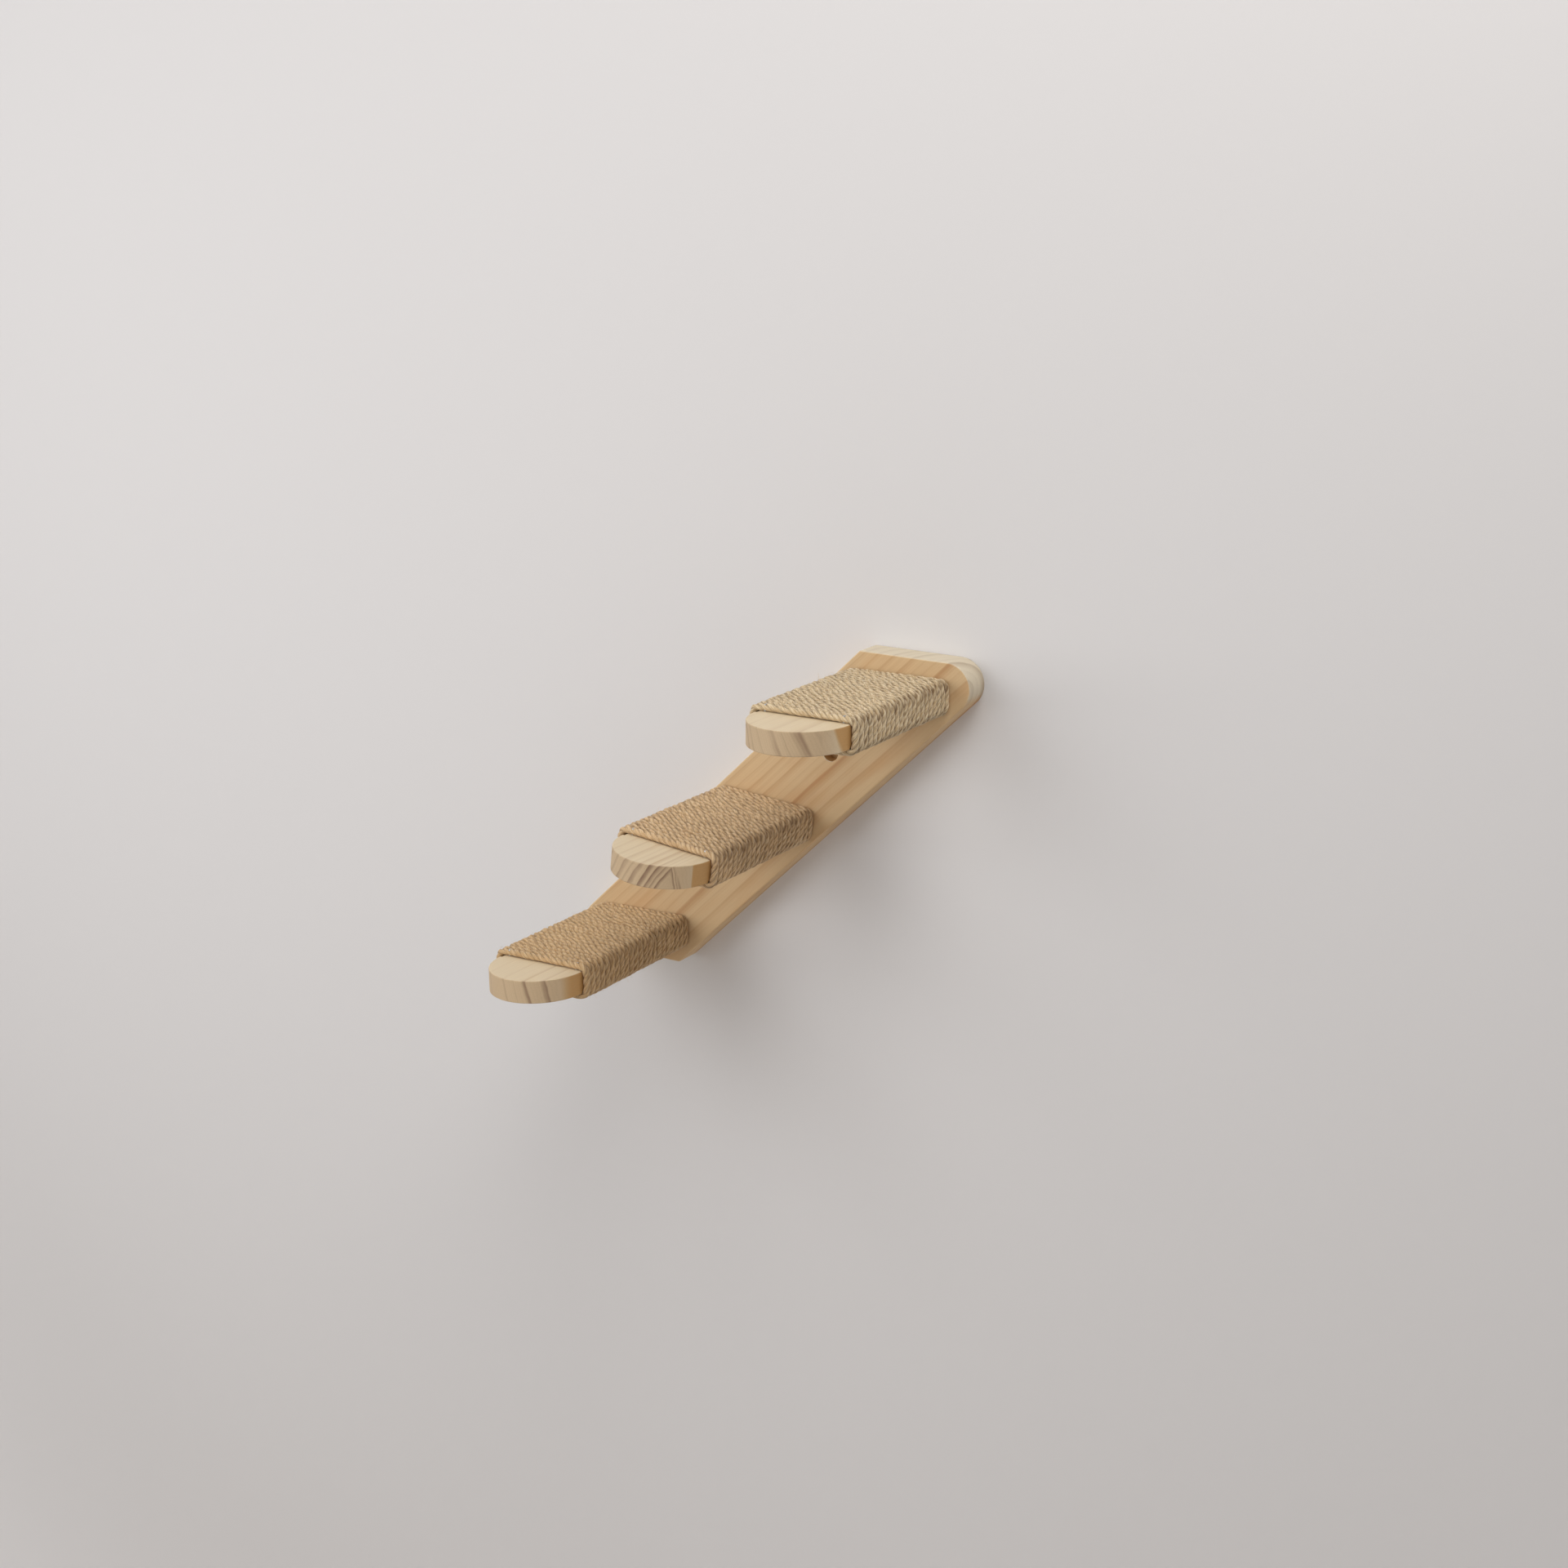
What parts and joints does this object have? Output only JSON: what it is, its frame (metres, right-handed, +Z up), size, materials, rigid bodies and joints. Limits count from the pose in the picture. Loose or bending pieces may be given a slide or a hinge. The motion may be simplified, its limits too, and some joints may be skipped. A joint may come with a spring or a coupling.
{
  "type": "cat ladder",
  "caption": "Wall-mounted cat ladder: a slanting pine board carries level pine steps with rounded noses, wound with jute rope.",
  "frame": {"origin": "middle of the wall board's back face, in the plane of the wall, behind the middle step", "axes": "+X right along the wall, +Y into the wall (the steps stand out towards -Y), +Z up"},
  "size_m": [0.4266, 0.26, 0.346],
  "materials": {
    "pine_board": "planed and sanded, bare",
    "pine_step": "planed and sanded, bare",
    "jute_rope": "twisted, fibrous",
    "zinc_steel": "zinc plated",
    "staple_steel": "galvanised"
  },
  "bodies": {
    "root": {"wall_board": "pine_board", "step_top": "pine_step", "step_middle": "pine_step", "step_bottom": "pine_step", "rope_wrap_top": "jute_rope", "rope_wrap_middle": "jute_rope", "rope_wrap_bottom": "jute_rope", "step_screws_top": "zinc_steel", "step_screws_middle": "zinc_steel", "step_screws_bottom": "zinc_steel", "rope_staples_top": "staple_steel", "rope_staples_middle": "staple_steel", "rope_staples_bottom": "staple_steel"}
  },
  "joints": []
}
